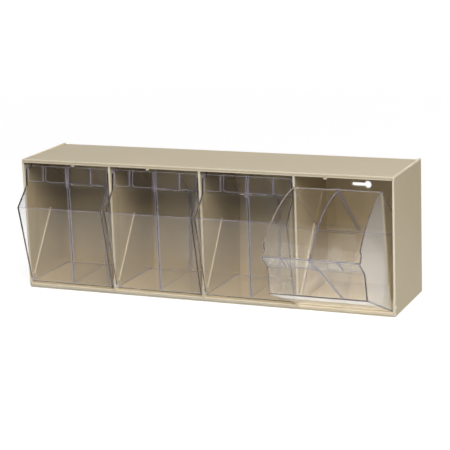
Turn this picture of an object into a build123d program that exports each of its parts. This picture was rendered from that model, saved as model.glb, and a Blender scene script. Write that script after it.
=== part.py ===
from build123d import *
import os
from math import cos, radians, sin, sqrt

# Store tilt-out bin unit: one moulded housing with a row of clear bins, each of which
# tips forward on two pins at its bottom front corner. Millimetres, +Z up, +Y to the back,
# origin at the middle of the face that the unit stands on.

# ---- Housing ----
housing_width = 600.0
housing_depth = 138.5
housing_height = 206.4
bay_count = 4
side_wall = 3.0
bay_wall = 3.0  # wall between two bays
back_wall = 2.5
top_panel = 3.0
top_fall = 2.3  # how much lower the top panel lies at the back
top_lip_height = 5.5
top_lip_depth = 3.0
floor_panel = 3.0
floor_level = 7.0  # bay floor above the standing surface
base_wall = 3.0  # skirt under the floor
base_rebate_height = 3.0
base_rebate_depth = 1.5
outer_round = 2.0
edge_round = 0.6  # around the housing's front edges

# ---- Hinge and stops ----
pivot_setback = 4.0  # behind the housing's front
pivot_height = 14.0
open_angle = 55.0
pin_radius = 2.5
pin_engagement = 0.7  # into the wall beyond the boss
running_clearance = 0.05
socket_end_clearance = 0.3
boss_radius = 9.5
boss_height = 1.1
stop_rib_height = 1.6
stop_rib_thickness = 2.4
stop_rib_start = 9.0  # from the pivot
stop_rib_end = 121.0
stop_gap = 0.2

# ---- Catch nubs under the top lip ----
nub_places = (-211.5, -84.5, 197.3)
nub_width = 5.0
nub_drop = 2.7
nub_round = 1.2

# ---- Keyhole slot for hanging ----
keyhole_inset = 104.8  # from the housing's right-hand end to the hanging point
keyhole_drop = 43.9  # below the housing's top
keyhole_head_radius = 5.3
keyhole_slot_width = 5.0
keyhole_travel = 22.4  # from head centre to hanging point

# ---- Bins ----
bin_wall = 2.2
bin_side_clearance = 1.5  # to the bay wall, at the housing's front
bin_taper = 4.6  # each side, from the housing's front to the bin's back
bin_rear_clearance = 3.2
bin_back_lean = 10.0  # back wall's foot ahead of its top
bin_bottom_height = 10.2
front_foot_projection = 1.9  # ahead of the housing's front
ridge_projection = 29.5
wedge_rise = 28.6  # from the ridge up to the label strip's foot
strip_height = 30.7
strip_lean = 3.0
strip_clearance = 4.9  # under the housing's top lip
mouth_clearance = 2.4  # between the swinging mouth and the top lip
mouth_fall = 6.5  # mouth's radius lost from front to back
notch_length = 12.0  # low stretch of the side walls behind the strip
notch_depth = 5.8
notch_run = 3.5
foot_round = 3.0
ridge_round = 1.2
strip_foot_round = 1.5
back_round = 4.5
side_round = 1.0  # along the bin's side edges
rest_rib_width = 2.0
rest_gap = 0.3
flange_side_gap = 0.6  # to the bay wall
flange_start = 20.0  # behind the pivot
flange_end_inset = 6.0  # ahead of the back wall's foot
tab_width = 10.0
tab_height = 2.5

# ---- Label strip on each bin ----
label_half = 36.0
label_foot = 6.5  # above the strip's foot
label_depth = 0.5
label_round = 5.0
label_rib_offset = 41.0
label_rib_width = 1.6
label_rib_height = 0.9
end_panel_inset = 5.0
end_panel_round = 2.5

# ---- Centre divider and its holders ----
divider_thickness = 1.6
divider_slack = 0.2
divider_top_drop = 1.5
divider_corner_cut = 24.0
holder_rib_width = 1.4
holder_rib_depth = 3.0
divider_edge_depth = 1.4

# ---- Worked-out places ----
bay_width = (housing_width - 2 * side_wall - (bay_count - 1) * bay_wall) / bay_count
bay_pitch = bay_width + bay_wall
bay_centres = [(i - (bay_count - 1) / 2) * bay_pitch for i in range(bay_count)]
front_y = -housing_depth / 2
back_y = housing_depth / 2
lip_underside = housing_height - top_lip_height
pivot_y = front_y + pivot_setback
far = housing_width + housing_height + housing_depth  # longer than anything cut

mouth_radius_front = lip_underside - pivot_height - mouth_clearance
mouth_radius_back = mouth_radius_front - mouth_fall
bin_half_front = bay_width / 2 - bin_side_clearance
bin_depth = housing_depth - back_wall - bin_rear_clearance
taper_slope = bin_taper / bin_depth


def from_pivot(setback, height):
    """A closed bin's point, from setback behind the front and height, seen from its pivot."""
    return (setback - pivot_setback, height - pivot_height)


def bin_half_width(u):
    """Half of the bin's outer width at u behind its pivot."""
    return bin_half_front - taper_slope * (u + pivot_setback)


def on_mouth(radius, u):
    """The point of a circle about the pivot that lies u behind it."""
    return (u, sqrt(radius**2 - u**2))


foot_front = from_pivot(-front_foot_projection, bin_bottom_height)
strip_top = from_pivot(strip_lean, lip_underside - strip_clearance)
strip_foot = (strip_top[0] - strip_lean, strip_top[1] - strip_height)
ridge = (strip_foot[0] - ridge_projection, strip_foot[1] - wedge_rise)
strip_back_top = (strip_top[0] + bin_wall, strip_top[1])
notch_floor = strip_top[1] - notch_depth
notch_front = (strip_back_top[0], notch_floor)
notch_back = (strip_back_top[0] + notch_length, notch_floor)
ear = on_mouth(mouth_radius_front, notch_back[0] + notch_run)
back_top = on_mouth(mouth_radius_back, bin_depth - pivot_setback)
mouth_middle = on_mouth((mouth_radius_front + mouth_radius_back) / 2, (ear[0] + back_top[0]) / 2)
back_foot = from_pivot(bin_depth - bin_back_lean, bin_bottom_height)
back_lean_slope = (back_top[0] - back_foot[0]) / (back_top[1] - back_foot[1])
floor_top = foot_front[1] + bin_wall
strip_slope = (strip_top[0] - strip_foot[0]) / (strip_top[1] - strip_foot[1])
back_thickness = bin_wall * sqrt(1 + back_lean_slope**2)  # the leaning back wall, cut level


def inner_back_u(v):
    """The back wall's inner face at v above the pivot, away from its rounded foot."""
    return back_foot[0] + back_lean_slope * (v - back_foot[1]) - back_thickness


def bin_planes(bay_x, tilt):
    """The bin's side plane (u back, v up) and plan plane (x across, u back), at its tilt."""
    back = (0, cos(radians(tilt)), sin(radians(tilt)))
    up = (0, -sin(radians(tilt)), cos(radians(tilt)))
    origin = (bay_x, pivot_y, pivot_height)
    return Plane(origin, x_dir=back, z_dir=(1, 0, 0)), Plane(origin, x_dir=(1, 0, 0), z_dir=up)


def build_housing():
    with BuildPart() as housing:
        with BuildSketch(Plane.XZ.offset(-back_y)):
            with Locations((0, housing_height / 2)):
                RectangleRounded(housing_width, housing_height, outer_round)
        extrude(amount=housing_depth)
        # Bays, open at the front.
        panel_under = housing_height - top_panel
        inner_back = back_y - back_wall
        for bay_x in bay_centres:
            with BuildSketch(Plane.YZ.offset(bay_x)):
                Polygon(
                    (front_y, floor_level),
                    (inner_back, floor_level),
                    (inner_back, panel_under - top_fall * (1 - back_wall / housing_depth)),
                    (front_y + top_lip_depth, panel_under - top_fall * top_lip_depth / housing_depth),
                    (front_y + top_lip_depth, lip_underside),
                    (front_y, lip_underside),
                    align=None,
                )
            extrude(amount=bay_width / 2, both=True, mode=Mode.SUBTRACT)
        fillet(housing.faces().sort_by(Axis.Y)[0].edges(), edge_round)
        # The top panel falls to the back between level side walls.
        with BuildSketch(Plane.YZ):
            Polygon(
                (front_y + edge_round, housing_height),
                (back_y, housing_height),
                (back_y, housing_height - top_fall),
                align=None,
            )
        extrude(amount=housing_width / 2 - side_wall, both=True, mode=Mode.SUBTRACT)
        # Hollow under each bay's floor, inside the skirt.
        with BuildSketch(Plane.XY):
            with Locations(*[(x, 0) for x in bay_centres]):
                Rectangle(bay_width, housing_depth - 2 * base_wall)
        extrude(amount=floor_level - floor_panel, mode=Mode.SUBTRACT)
        # Rebate along the bottom front edge.
        with BuildSketch(Plane.YZ):
            with Locations((front_y, 0)):
                Rectangle(base_rebate_depth, base_rebate_height, align=(Align.MIN, Align.MIN))
        extrude(amount=housing_width / 2, both=True, mode=Mode.SUBTRACT)
        # Pivot bosses and stop ribs stand on both walls of every bay.
        for bay_x in bay_centres:
            open_side, _ = bin_planes(bay_x, open_angle)
            for hand in (-1, 1):
                wall_x = bay_x + hand * bay_width / 2
                with BuildSketch(Plane.YZ.offset(wall_x)):
                    with Locations((pivot_y, pivot_height)):
                        Circle(boss_radius)
                    with Locations((front_y + edge_round, floor_level)):
                        Rectangle(far, far, align=(Align.MIN, Align.MIN), mode=Mode.INTERSECT)
                extrude(amount=-hand * boss_height)
                with BuildSketch(open_side.offset(wall_x - bay_x)):
                    with Locations((stop_rib_start, floor_top + stop_gap)):
                        Rectangle(
                            stop_rib_end - stop_rib_start,
                            stop_rib_thickness,
                            align=(Align.MIN, Align.MIN),
                        )
                extrude(amount=-hand * stop_rib_height)
        socket_depth = boss_height + pin_engagement + socket_end_clearance
        for bay_x in bay_centres:
            for hand in (-1, 1):
                boss_face = bay_x + hand * (bay_width / 2 - boss_height)
                with BuildSketch(Plane.YZ.offset(boss_face)):
                    with Locations((pivot_y, pivot_height)):
                        Circle(pin_radius + running_clearance)
                extrude(amount=hand * socket_depth, mode=Mode.SUBTRACT)
        # Nubs hang from the top lip, behind its rounded edge.
        nub_depth = top_lip_depth - edge_round
        with BuildSketch(Plane.XZ.offset(-front_y - top_lip_depth)) as nubs:
            with Locations(*[(x, lip_underside - nub_drop) for x in nub_places]):
                Rectangle(nub_width, nub_drop, align=(Align.CENTER, Align.MIN))
            fillet(nubs.vertices().group_by(Axis.Y)[0], nub_round)
        extrude(amount=nub_depth)
        # Keyhole slot through the back wall, its head to the right of the hanging point.
        hang_x = housing_width / 2 - keyhole_inset
        keyhole_height = housing_height - keyhole_drop
        with BuildSketch(Plane.XZ.offset(-back_y)):
            with Locations((hang_x + keyhole_travel, keyhole_height)):
                Circle(keyhole_head_radius)
            with Locations((hang_x + keyhole_travel / 2, keyhole_height)):
                SlotCenterToCenter(keyhole_travel, keyhole_slot_width)
        extrude(amount=back_wall, mode=Mode.SUBTRACT)
    housing.part.label = "housing"
    export_step(housing.part, "parts/housing.step")


def plan_corners(inset):
    """The bin's tapered plan, inset by a wall, from well ahead of it to well behind."""
    ahead = ridge[0] - bin_wall
    behind = back_top[0] + bin_wall
    front_half = bin_half_width(ahead) - inset
    back_half = bin_half_width(behind) - inset
    return [(-front_half, ahead), (front_half, ahead), (back_half, behind), (-back_half, behind)]


def bin_block(side_plane, plan_plane, inset):
    """A solid bin shape that runs far above the mouth, inset by a wall."""
    above = far - pivot_height
    top_front = (strip_foot[0] + strip_slope * (above - strip_foot[1]), above)
    top_back = (back_foot[0] + back_lean_slope * (above - back_foot[1]), above)
    corner_rounds = [
        (back_foot, back_round),
        (foot_front, foot_round),
        (ridge, ridge_round),
        (strip_foot, strip_foot_round),
    ]
    with BuildPart() as block:
        with BuildSketch(side_plane) as side:
            Polygon(top_back, back_foot, foot_front, ridge, strip_foot, top_front, align=None)
            for corner, radius in corner_rounds:
                fillet(side.vertices().sort_by_distance(corner)[0], radius)
            if inset:
                offset(amount=-inset, mode=Mode.REPLACE)
        extrude(amount=bin_half_width(ridge[0]), both=True)
        with BuildSketch(plan_plane):
            Polygon(*plan_corners(inset), align=None)
        extrude(amount=far, both=True, mode=Mode.INTERSECT)
    return block.part


def build_bin(number, bay_x, tilt):
    side_plane, plan_plane = bin_planes(bay_x, tilt)
    name = f"bin_{number}"
    into_wall = bin_wall / 2  # how far a rib or pin is rooted in the wall it stands on
    with BuildPart() as clear_bin:
        add(bin_block(side_plane, plan_plane, 0))
        by_side = clear_bin.faces().sort_by(Axis.X)
        fillet(by_side[0].edges() + by_side[-1].edges(), side_round)
        add(bin_block(side_plane, plan_plane, bin_wall), mode=Mode.SUBTRACT)
        # The mouth: level on top of the strip, a notch in the side walls, then an arc to the back.
        below = (back_top[0] + bin_wall, foot_front[1])
        with BuildSketch(side_plane):
            with BuildLine():
                Polyline(strip_top, strip_back_top, notch_front, notch_back, ear)
                ThreePointArc(ear, mouth_middle, back_top)
                Polyline(back_top, (below[0], back_top[1]), below, (ridge[0], below[1]))
                Polyline((ridge[0], below[1]), (ridge[0], strip_top[1]), strip_top)
            make_face()
        extrude(amount=bin_half_width(ridge[0]), both=True, mode=Mode.INTERSECT)
        # Floor flanges that meet the stop ribs when the bin is fully open.
        flange_end = back_foot[0] - flange_end_inset
        with BuildSketch(side_plane):
            with Locations((flange_start, foot_front[1])):
                Rectangle(flange_end - flange_start, bin_wall, align=(Align.MIN, Align.MIN))
        extrude(amount=bay_width / 2 - flange_side_gap, both=True)
        # Rib under the back of the floor, on which the closed bin sits.
        rest_drop = bin_bottom_height - floor_level - rest_gap
        with BuildSketch(side_plane):
            with Locations((flange_end, foot_front[1] - rest_drop)):
                Rectangle(rest_rib_width, rest_drop + into_wall, align=(Align.MAX, Align.MIN))
        extrude(amount=bin_half_width(back_foot[0]) - side_round, both=True)
        # Hinge pins.
        pin_tip = bay_width / 2 + pin_engagement
        pin_root = bin_half_width(0) - into_wall
        for hand in (-1, 1):
            with BuildSketch(side_plane.offset(hand * pin_root)):
                Circle(pin_radius)
            extrude(amount=hand * (pin_tip - pin_root))
        # Tab at the middle of the back wall's top edge.
        tab_foot = back_top[1] - tab_height
        tab_top = back_top[1] + tab_height
        with BuildSketch(side_plane):
            Polygon(
                (inner_back_u(tab_foot), tab_foot),
                (inner_back_u(tab_foot) + back_thickness, tab_foot),
                (inner_back_u(tab_top) + back_thickness, tab_top),
                (inner_back_u(tab_top), tab_top),
                align=None,
            )
        extrude(amount=tab_width / 2, both=True)
        # Holder ribs for the centre divider, on the back wall and behind the label strip.
        rib_foot = floor_top - into_wall
        rib_top = back_top[1] - divider_top_drop
        rib_offset = (divider_thickness + holder_rib_width) / 2 + divider_slack
        strip_root = (strip_foot[0] + into_wall, strip_foot[1])
        strip_rib_top = (strip_top[0] + into_wall, strip_top[1] - divider_top_drop)
        for hand in (-1, 1):
            with BuildSketch(side_plane.offset(hand * rib_offset)):
                Polygon(
                    (inner_back_u(rib_foot) + into_wall, rib_foot),
                    (inner_back_u(rib_top) + into_wall, rib_top),
                    (inner_back_u(rib_top) - holder_rib_depth, rib_top),
                    (inner_back_u(rib_foot) - holder_rib_depth, rib_foot),
                    align=None,
                )
                Polygon(
                    strip_root,
                    strip_rib_top,
                    (strip_rib_top[0] + into_wall + holder_rib_depth, strip_rib_top[1]),
                    (strip_root[0] + into_wall + holder_rib_depth, strip_root[1]),
                    align=None,
                )
            extrude(amount=holder_rib_width / 2, both=True)
        # Label strip: a wide shallow panel between two upright ribs, and a panel at each end.
        strip_face = Plane(
            side_plane.from_local_coords((strip_foot[0], strip_foot[1], 0)),
            x_dir=(1, 0, 0),
            z_dir=side_plane.x_dir * -1 + plan_plane.z_dir * strip_slope,
        )
        strip_length = (strip_top[1] - strip_foot[1]) * sqrt(1 + strip_slope**2)
        panel_height = strip_length - label_foot
        end_outer = bin_half_width(strip_foot[0]) - end_panel_inset
        end_inner = label_rib_offset + label_rib_width
        end_middle = (end_inner + end_outer) / 2
        with BuildSketch(strip_face):
            with Locations((0, strip_length)):
                RectangleRounded(2 * label_half, 2 * panel_height, label_round)
            with Locations((-end_middle, strip_length), (end_middle, strip_length)):
                RectangleRounded(end_outer - end_inner, 2 * panel_height, end_panel_round)
        extrude(amount=-label_depth, mode=Mode.SUBTRACT)
        with BuildSketch(strip_face.offset(-into_wall)):
            with Locations((-label_rib_offset, strip_length), (label_rib_offset, strip_length)):
                Rectangle(label_rib_width, panel_height, align=(Align.CENTER, Align.MAX))
        extrude(amount=into_wall + label_rib_height)
    clear_bin.part.label = name
    export_step(clear_bin.part, f"parts/{name}.step")


def build_divider(number, bay_x, tilt):
    side_plane, _ = bin_planes(bay_x, tilt)
    name = f"centre_divider_{number}"
    front_u = strip_top[0] + bin_wall + divider_slack
    top_front = (front_u, strip_top[1] - divider_top_drop)
    back_v = back_top[1] - divider_top_drop
    top_back = (inner_back_u(back_v) - divider_slack, back_v)
    middle_radius = (mouth_radius_front + mouth_radius_back) / 2 - divider_top_drop
    middle = on_mouth(middle_radius, (front_u + top_back[0]) / 2)
    cut_v = floor_top + divider_corner_cut
    with BuildPart() as divider:
        with BuildSketch(side_plane):
            with BuildLine():
                Polyline(
                    top_back,
                    (inner_back_u(cut_v) - divider_slack, cut_v),
                    (inner_back_u(floor_top) - divider_slack - divider_corner_cut, floor_top),
                    (front_u, floor_top),
                    top_front,
                )
                ThreePointArc(top_front, middle, top_back)
            make_face()
        extrude(amount=divider_thickness / 2, both=True)
        # Wider front edge below the label strip, in line with the holder ribs above it.
        edge_height = strip_foot[1] - divider_slack - floor_top
        edge_width = divider_thickness + 2 * (divider_slack + holder_rib_width)
        with BuildSketch(side_plane):
            with Locations((front_u, floor_top)):
                Rectangle(divider_edge_depth, edge_height, align=(Align.MIN, Align.MIN))
        extrude(amount=edge_width / 2, both=True)
    divider.part.label = name
    export_step(divider.part, f"parts/{name}.step")


def main():
    os.makedirs("parts", exist_ok=True)
    build_housing()
    for number, bay_x in enumerate(bay_centres, start=1):
        # The bin at the right-hand end stands open; the others are closed.
        tilt = open_angle if number == bay_count else 0
        build_bin(number, bay_x, tilt)
        build_divider(number, bay_x, tilt)


main()
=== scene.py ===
import logging
from dataclasses import dataclass, field
from enum import Enum

import bpy
import numpy as np
from mathutils import Matrix, Vector

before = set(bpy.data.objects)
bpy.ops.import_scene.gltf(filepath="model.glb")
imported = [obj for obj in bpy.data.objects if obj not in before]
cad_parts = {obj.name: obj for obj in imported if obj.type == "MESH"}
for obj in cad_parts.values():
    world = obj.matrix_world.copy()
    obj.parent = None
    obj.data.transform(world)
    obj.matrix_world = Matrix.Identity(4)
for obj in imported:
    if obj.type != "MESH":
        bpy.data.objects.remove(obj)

log = logging.getLogger("tilt_out_bins")

MM = 0.001
WHITE = "FFFFFF"
LIGHT_BOUNCES = 32  # clear and shiny faces
DULL_BOUNCES = 2

# How sRGB values are turned to linear light.
SRGB_TOE_END = 0.04045
SRGB_TOE_SLOPE = 12.92
SRGB_OFFSET = 0.055
SRGB_POWER = 2.4


# ---- Colour and node helpers ----


def linear(hex_colour: str) -> tuple[float, float, float, float]:
    """Turns an sRGB hex colour to linear light, for a shader's colour socket.

    Args:
        hex_colour: Six hex digits, such as "E6D8BC".

    Returns:
        Red, green and blue in linear light, and an alpha of 1.
    """
    channels = np.array([int(hex_colour[i : i + 2], 16) for i in (0, 2, 4)]) / 255
    low = channels / SRGB_TOE_SLOPE
    high = ((channels + SRGB_OFFSET) / (1 + SRGB_OFFSET)) ** SRGB_POWER
    red, green, blue = np.where(channels <= SRGB_TOE_END, low, high)
    return float(red), float(green), float(blue), 1.0


def add_node(
    tree: bpy.types.NodeTree,
    kind: str,
    links: dict[str, bpy.types.NodeSocket] | None = None,
    settings: dict[str, object] | None = None,
    **properties: object,
) -> bpy.types.Node:
    """Adds one node with its properties, its socket values and the links into it.

    Args:
        tree: The node tree that the node goes into.
        kind: The node's type name, such as "ShaderNodeTexNoise".
        links: Input socket name or number to the socket that feeds it.
        settings: Input socket name or number to its plain value.
        properties: Properties of the node itself.

    Returns:
        The new node.
    """
    node = tree.nodes.new(kind)
    for name, value in properties.items():
        setattr(node, name, value)
    for socket, value in (settings or {}).items():
        node.inputs[socket].default_value = value
    for socket, source in (links or {}).items():
        tree.links.new(source, node.inputs[socket])
    return node


def new_material(name: str) -> tuple[bpy.types.Material, bpy.types.NodeTree]:
    """Makes a material with an empty node tree.

    Args:
        name: The material's name.

    Returns:
        The material and its node tree.
    """
    material = bpy.data.materials.new(name)
    material.use_nodes = True
    material.node_tree.nodes.clear()
    return material, material.node_tree


def dress(piece: bpy.types.Object, material: bpy.types.Material) -> None:
    """Gives every material slot of a piece the same material.

    Args:
        piece: The object to dress.
        material: Its only material.
    """
    if not piece.data.materials:
        piece.data.materials.append(material)
    for slot in piece.material_slots:
        slot.material = material


# ---- Finishes ----


@dataclass(frozen=True)
class MouldedPolystyrene:
    """High-impact polystyrene, injection moulded in a fine-blasted tool.

    The blasted tool leaves a satin face: a soft broad sheen over an even colour, with a very fine
    grain. Slow cooling leaves faint, wide clouds where the wall behind is thick. Thin edges are
    painted paler, a painted highlight for the light that their rounding catches.
    """

    name: str = "moulded_beige_polystyrene"
    colour: str = "DAC9A6"
    shade: str = "D3C19D"
    cloud_size_mm: float = 90.0
    cloud_detail: float = 2.0
    cloud_roughness: float = 0.45
    grain_size_mm: float = 0.5  # the real grain is about 0.1 mm, drawn coarser so that it shows
    grain_height_mm: float = 0.012
    grain_detail: float = 2.0
    grain_strength: float = 0.35
    edge_round_mm: float = 0.8
    edge_round_samples: int = 4
    # painted highlight: the pale cream laid on thin edges
    painted_edge_highlight: str = "FFF3DA"
    painted_highlight_reach_mm: float = 2.4  # how far from a thin edge the painted highlight reaches
    edge_start: float = 0.98  # openness towards the wall's inside, 1 on a wide face
    edge_full: float = 0.86
    edge_samples: int = 6
    roughness: float = 0.46
    ior: float = 1.59

    def build(self) -> bpy.types.Material:
        """Makes the material.

        Returns:
            The material, with clouds, grain and a painted highlight on thin edges.
        """
        material, tree = new_material(self.name)
        place = add_node(tree, "ShaderNodeTexCoord").outputs["Object"]
        clouds = add_node(
            tree,
            "ShaderNodeTexNoise",
            links={"Vector": place},
            settings={
                "Scale": 1 / (self.cloud_size_mm * MM),
                "Detail": self.cloud_detail,
                "Roughness": self.cloud_roughness,
            },
        )
        tint = add_node(
            tree,
            "ShaderNodeMix",
            data_type="RGBA",
            links={"Factor": clouds.outputs["Fac"]},
            settings={"A": linear(self.colour), "B": linear(self.shade)},
        )
        # Painted highlight: where the wall is thin near an edge, the colour is mixed towards pale
        # cream.
        inside = add_node(
            tree,
            "ShaderNodeAmbientOcclusion",
            settings={"Distance": self.painted_highlight_reach_mm * MM},
            inside=True,
            only_local=True,
            samples=self.edge_samples,
        )
        edge = add_node(
            tree,
            "ShaderNodeMapRange",
            links={"Value": inside.outputs["AO"]},
            settings={
                "From Min": self.edge_full,
                "From Max": self.edge_start,
                "To Min": 1.0,
                "To Max": 0.0,
            },
        )
        colour = add_node(
            tree,
            "ShaderNodeMix",
            data_type="RGBA",
            links={"Factor": edge.outputs["Result"], "A": tint.outputs[2]},
            settings={"B": linear(self.painted_edge_highlight)},
        )
        grain = add_node(
            tree,
            "ShaderNodeTexNoise",
            links={"Vector": place},
            settings={"Scale": 1 / (self.grain_size_mm * MM), "Detail": self.grain_detail},
        )
        rounded = add_node(
            tree,
            "ShaderNodeBevel",
            settings={"Radius": self.edge_round_mm * MM},
            samples=self.edge_round_samples,
        )
        bump = add_node(
            tree,
            "ShaderNodeBump",
            links={"Height": grain.outputs["Fac"], "Normal": rounded.outputs["Normal"]},
            settings={"Strength": self.grain_strength, "Distance": self.grain_height_mm * MM},
        )
        plastic = add_node(
            tree,
            "ShaderNodeBsdfPrincipled",
            links={"Base Color": colour.outputs[2], "Normal": bump.outputs["Normal"]},
            settings={"Roughness": self.roughness, "IOR": self.ior},
        )
        add_node(tree, "ShaderNodeOutputMaterial", links={"Surface": plastic.outputs[0]})
        return material


@dataclass(frozen=True)
class CrystalPolystyrene:
    """General-purpose crystal polystyrene, moulded in a polished tool.

    It is as clear as glass, with wide, shallow waves from cooling. Light that is caught inside the
    walls leaves by their rims and corners; that light, and the glints on the rims, are painted on as
    a pale violet colour along the rims.
    """

    name: str = "clear_crystal_polystyrene"
    colour: str = "FCFCFC"
    lamp_share: str = "F8F6F3"  # what one face lets through of a lamp's light
    # painted light: pale violet on the rims, for light leaving the walls there and for glints
    painted_rim_light_colour: str = "CEC6E5"
    painted_rim_light_share: float = 0.6  # how much of the rim is painted violet light; the rest stays clear
    rim_roughness: float = 0.15
    rim_width_mm: float = 1.4
    rim_start: float = 0.995  # cosine between a face and its rounded normal where the rim begins
    rim_full: float = 0.85
    rim_samples: int = 4
    volume_tint: str = "A396D8"
    volume_density: float = 1.0  # per metre of plastic looked through
    roughness: float = 0.0
    ior: float = 1.5
    wave_size_mm: float = 45.0
    wave_height_mm: float = 0.05
    wave_detail: float = 1.0
    wave_strength: float = 0.5

    def build(self) -> bpy.types.Material:
        """Makes the material. Lamps reach what is behind it, through a plain clear shader.

        Returns:
            The material, clear on its faces, with painted pale violet light along its rims.
        """
        material, tree = new_material(self.name)
        place = add_node(tree, "ShaderNodeTexCoord").outputs["Object"]
        rounded = add_node(
            tree,
            "ShaderNodeBevel",
            settings={"Radius": self.rim_width_mm * MM},
            samples=self.rim_samples,
        ).outputs["Normal"]
        face = add_node(tree, "ShaderNodeNewGeometry").outputs["True Normal"]
        agreement = add_node(
            tree, "ShaderNodeVectorMath", operation="DOT_PRODUCT", links={0: rounded, 1: face}
        )
        rim = add_node(
            tree,
            "ShaderNodeMapRange",
            interpolation_type="SMOOTHSTEP",
            links={"Value": agreement.outputs["Value"]},
            settings={
                "From Min": self.rim_full,
                "From Max": self.rim_start,
                "To Min": self.painted_rim_light_share,
                "To Max": 0.0,
            },
        ).outputs["Result"]
        waves = add_node(
            tree,
            "ShaderNodeTexNoise",
            links={"Vector": place},
            settings={"Scale": 1 / (self.wave_size_mm * MM), "Detail": self.wave_detail},
        )
        bump = add_node(
            tree,
            "ShaderNodeBump",
            links={"Height": waves.outputs["Fac"], "Normal": rounded},
            settings={"Strength": self.wave_strength, "Distance": self.wave_height_mm * MM},
        )
        clear = add_node(
            tree,
            "ShaderNodeBsdfPrincipled",
            links={"Normal": bump.outputs["Normal"]},
            settings={
                "Base Color": linear(self.colour),
                "Transmission Weight": 1.0,
                "Roughness": self.roughness,
                "IOR": self.ior,
            },
        )
        # Painted light: an opaque pale violet shader on the rims stands in for light leaving the
        # walls by their edges and for glints on them.
        painted_rim_shader = add_node(
            tree,
            "ShaderNodeBsdfPrincipled",
            links={"Normal": bump.outputs["Normal"]},
            settings={
                "Base Color": linear(self.painted_rim_light_colour),
                "Roughness": self.rim_roughness,
                "IOR": self.ior,
            },
        )
        body = add_node(
            tree, "ShaderNodeMixShader", links={0: rim, 1: clear.outputs[0], 2: painted_rim_shader.outputs[0]}
        )
        passing = add_node(
            tree, "ShaderNodeBsdfTransparent", settings={"Color": linear(self.lamp_share)}
        )
        path = add_node(tree, "ShaderNodeLightPath")
        surface = add_node(
            tree,
            "ShaderNodeMixShader",
            links={0: path.outputs["Is Shadow Ray"], 1: body.outputs[0], 2: passing.outputs[0]},
        )
        depth = add_node(
            tree,
            "ShaderNodeVolumeAbsorption",
            settings={"Color": linear(self.volume_tint), "Density": self.volume_density},
        )
        add_node(
            tree,
            "ShaderNodeOutputMaterial",
            links={"Surface": surface.outputs[0], "Volume": depth.outputs[0]},
        )
        return material


# ---- Sub-assemblies ----


class ClearPiece(Enum):
    """The pieces of crystal polystyrene. There is one of each in every bay."""

    BIN = "bin"
    CENTRE_DIVIDER = "centre_divider"


@dataclass
class Housing:
    """The moulded housing with its four bays."""

    node: str = "housing"
    finish: MouldedPolystyrene = field(default_factory=MouldedPolystyrene)

    def build(self) -> None:
        """Dresses the housing's node."""
        dress(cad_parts[self.node], self.finish.build())
        log.info("%s dressed in %s", self.node, self.finish.name)


@dataclass
class BinRow:
    """The clear bins and the divider in each."""

    count: int = 4
    finish: CrystalPolystyrene = field(default_factory=CrystalPolystyrene)

    def build(self) -> None:
        """Dresses each bin and its divider."""
        clear = self.finish.build()
        for number in range(1, self.count + 1):
            for piece in ClearPiece:
                node = f"{piece.value}_{number}"
                dress(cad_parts[node], clear)
                log.info("%s dressed in %s", node, self.finish.name)


# ---- Studio ----


@dataclass(frozen=True)
class SoftBox:
    """A square lamp with an even face, turned to the unit."""

    name: str
    place: tuple[float, float, float]  # metres
    side: float  # metres
    watts: float

    def build(self) -> None:
        """Adds the lamp to the scene."""
        lamp = bpy.data.lights.new(self.name, "AREA")
        lamp.size = self.side
        lamp.energy = self.watts
        box = bpy.data.objects.new(self.name, lamp)
        towards_unit = -Vector(self.place)
        turn = towards_unit.to_track_quat("-Z", "Y").to_matrix().to_4x4()
        box.matrix_world = Matrix.Translation(self.place) @ turn
        bpy.context.scene.collection.objects.link(box)


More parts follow.
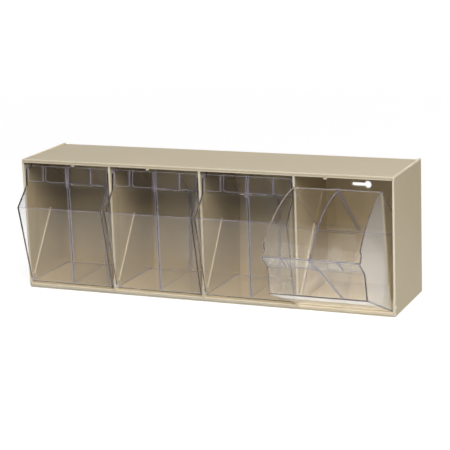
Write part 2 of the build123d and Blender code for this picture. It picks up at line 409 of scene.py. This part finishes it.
@dataclass
class Studio:
    """A pale floor, soft lights and the camera. Lengths are in metres."""

    floor_half_width: float = 6.0
    floor_colour: str = "BEBEBE"
    floor_roughness: float = 0.9
    near_glow: float = 0.74  # added to the light that the floor itself sends back
    far_glow: float = 0.9
    glow_start: float = 1.0  # from the unit
    glow_end: float = 4.0
    seen_through: float = 0.75  # share of the glow that is seen through clear plastic
    mirrored_glow: float = 0.4  # the floor's glow in reflections, close to the unit
    pool_inner: float = 0.35  # how far from the unit that glow starts to fade
    pool_outer: float = 1.0
    turn_limit: float = 0.5  # a ray with fewer turns than this was never scattered
    room_light: float = 0.04
    sweep_light: float = 0.9
    sweep_start: float = -0.1  # how far behind a direction points where the sweep begins, as a sine
    sweep_full: float = 0.35
    sweep_top: float = 0.45  # how far up it points where the sweep begins to fade, as a sine
    ceiling_start: float = 0.85
    key_light: SoftBox = SoftBox("key_soft_box", (0.83, -1.83, 2.2), 1.8, 58.0)
    side_light: SoftBox = SoftBox("side_soft_box", (2.44, -0.9, 1.5), 1.4, 9.0)
    camera_place: tuple[float, float, float] = (0.9391, -2.15605, 0.6797)
    camera_forward: tuple[float, float, float] = (-0.38458845, 0.89174802, -0.23848941)
    camera_up: tuple[float, float, float] = (-0.0587594, 0.23418651, 0.97041435)
    focal_pixels: float = 1579.9
    image_pixels: int = 450
    sensor_mm: float = 36.0
    view_reach: float = 50.0

    def build(self) -> None:
        """Builds the whole studio.

        The key light is high in front and a little to the right. A weak one stands at the right.
        """
        self.build_floor()
        self.build_world()
        self.key_light.build()
        self.side_light.build()
        self.build_camera()

    def add_seen(self, tree: bpy.types.NodeTree) -> bpy.types.NodeSocket:
        """Adds the nodes that tell what the eye sees, straight or through clear plastic.

        Args:
            tree: The node tree of the floor or of the world.

        Returns:
            A socket that is 1 for such rays. It is 0 for those that light the unit.
        """
        path = add_node(tree, "ShaderNodeLightPath")
        turns = add_node(
            tree,
            "ShaderNodeMath",
            operation="ADD",
            links={0: path.outputs["Diffuse Depth"], 1: path.outputs["Glossy Depth"]},
        )
        unscattered = add_node(
            tree,
            "ShaderNodeMath",
            operation="LESS_THAN",
            links={0: turns.outputs[0]},
            settings={1: self.turn_limit},
        )
        through = add_node(
            tree,
            "ShaderNodeMath",
            operation="MULTIPLY",
            links={0: path.outputs["Is Transmission Ray"], 1: unscattered.outputs[0]},
        )
        seen = add_node(
            tree,
            "ShaderNodeMath",
            operation="MULTIPLY_ADD",
            links={0: through.outputs[0], 2: path.outputs["Is Camera Ray"]},
            settings={1: self.seen_through},
        )
        return seen.outputs[0]

    def build_floor(self) -> None:
        """Adds a wide flat floor under the housing, white to the camera and still shadowed."""
        edges = (-self.floor_half_width, self.floor_half_width)
        corners = [(x, y, 0.0) for y in edges for x in edges]
        mesh = bpy.data.meshes.new("floor")
        mesh.from_pydata(corners, [], [(0, 1, 3, 2)])
        floor = bpy.data.objects.new("floor", mesh)
        bpy.context.scene.collection.objects.link(floor)
        material, tree = new_material("white_paper_sweep")
        paper = add_node(
            tree,
            "ShaderNodeBsdfPrincipled",
            settings={
                "Base Color": linear(self.floor_colour),
                "Roughness": self.floor_roughness,
            },
        )
        place = add_node(tree, "ShaderNodeTexCoord").outputs["Object"]
        away = add_node(tree, "ShaderNodeVectorMath", operation="LENGTH", links={0: place})
        pool = add_node(
            tree,
            "ShaderNodeMapRange",
            interpolation_type="SMOOTHSTEP",
            links={"Value": away.outputs["Value"]},
            settings={
                "From Min": self.pool_inner,
                "From Max": self.pool_outer,
                "To Min": self.mirrored_glow,
                "To Max": 0.0,
            },
        )
        open_floor = add_node(
            tree,
            "ShaderNodeMapRange",
            links={"Value": away.outputs["Value"]},
            settings={
                "From Min": self.glow_start,
                "From Max": self.glow_end,
                "To Min": self.near_glow,
                "To Max": self.far_glow,
            },
        )
        path = add_node(tree, "ShaderNodeLightPath")
        mirrored = add_node(
            tree,
            "ShaderNodeMath",
            operation="MULTIPLY",
            links={0: path.outputs["Is Glossy Ray"], 1: pool.outputs[0]},
        )
        strength = add_node(
            tree,
            "ShaderNodeMath",
            operation="MULTIPLY_ADD",
            links={0: self.add_seen(tree), 1: open_floor.outputs[0], 2: mirrored.outputs[0]},
        )
        glow = add_node(tree, "ShaderNodeEmission", links={"Strength": strength.outputs[0]})
        both = add_node(tree, "ShaderNodeAddShader", links={0: paper.outputs[0], 1: glow.outputs[0]})
        add_node(tree, "ShaderNodeOutputMaterial", links={"Surface": both.outputs[0]})
        dress(floor, material)

    def build_world(self) -> None:
        """Adds a world that is white where the camera looks past the unit.

        To lights and mirrors it is a pale sweep behind the unit and a dark room ahead of it.
        """
        world = bpy.data.worlds.new("studio")
        world.use_nodes = True
        tree = world.node_tree
        tree.nodes.clear()
        direction = add_node(tree, "ShaderNodeTexCoord").outputs["Generated"]
        parts = add_node(tree, "ShaderNodeSeparateXYZ", links={0: direction})
        behind = add_node(
            tree,
            "ShaderNodeMapRange",
            interpolation_type="SMOOTHSTEP",
            links={"Value": parts.outputs["Y"]},
            settings={"From Min": self.sweep_start, "From Max": self.sweep_full},
        )
        low = add_node(
            tree,
            "ShaderNodeMapRange",
            interpolation_type="SMOOTHSTEP",
            links={"Value": parts.outputs["Z"]},
            settings={
                "From Min": self.sweep_top,
                "From Max": self.ceiling_start,
                "To Min": 1.0,
                "To Max": 0.0,
            },
        )
        sweep = add_node(
            tree,
            "ShaderNodeMath",
            operation="MULTIPLY",
            links={0: behind.outputs[0], 1: low.outputs[0]},
        )
        surroundings = add_node(
            tree,
            "ShaderNodeMapRange",
            links={"Value": sweep.outputs[0]},
            settings={"To Min": self.room_light, "To Max": self.sweep_light},
        )
        strength = add_node(
            tree,
            "ShaderNodeMath",
            operation="MAXIMUM",
            links={0: surroundings.outputs[0], 1: self.add_seen(tree)},
        )
        sky = add_node(tree, "ShaderNodeBackground", links={"Strength": strength.outputs[0]})
        sky.inputs["Color"].default_value = linear(WHITE)
        add_node(tree, "ShaderNodeOutputWorld", links={"Surface": sky.outputs[0]})
        bpy.context.scene.world = world

    def build_camera(self) -> None:
        """Adds a camera with a long lens, a little above the unit at its front right."""
        data = bpy.data.cameras.new("camera")
        data.sensor_width = self.sensor_mm
        data.lens = self.focal_pixels * self.sensor_mm / self.image_pixels
        data.clip_end = self.view_reach
        camera = bpy.data.objects.new("camera", data)
        forward = Vector(self.camera_forward).normalized()
        right = forward.cross(Vector(self.camera_up)).normalized()
        up = right.cross(forward)
        turn = Matrix((right, up, -forward)).transposed().to_4x4()
        camera.matrix_world = Matrix.Translation(self.camera_place) @ turn
        bpy.context.scene.collection.objects.link(camera)
        bpy.context.scene.camera = camera


def main() -> None:
    """Builds the unit's looks and the studio."""
    logging.basicConfig(level=logging.INFO, format="%(name)s: %(message)s")
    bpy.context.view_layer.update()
    Housing().build()
    BinRow().build()
    Studio().build()
    scene = bpy.context.scene
    scene.view_settings.view_transform = "Standard"
    # Light inside a clear wall meets its faces many times before it leaves by an edge.
    scene.cycles.max_bounces = LIGHT_BOUNCES
    scene.cycles.diffuse_bounces = DULL_BOUNCES
    scene.cycles.glossy_bounces = LIGHT_BOUNCES
    scene.cycles.transmission_bounces = LIGHT_BOUNCES
    scene.cycles.transparent_max_bounces = LIGHT_BOUNCES


if __name__ == "__main__":
    main()
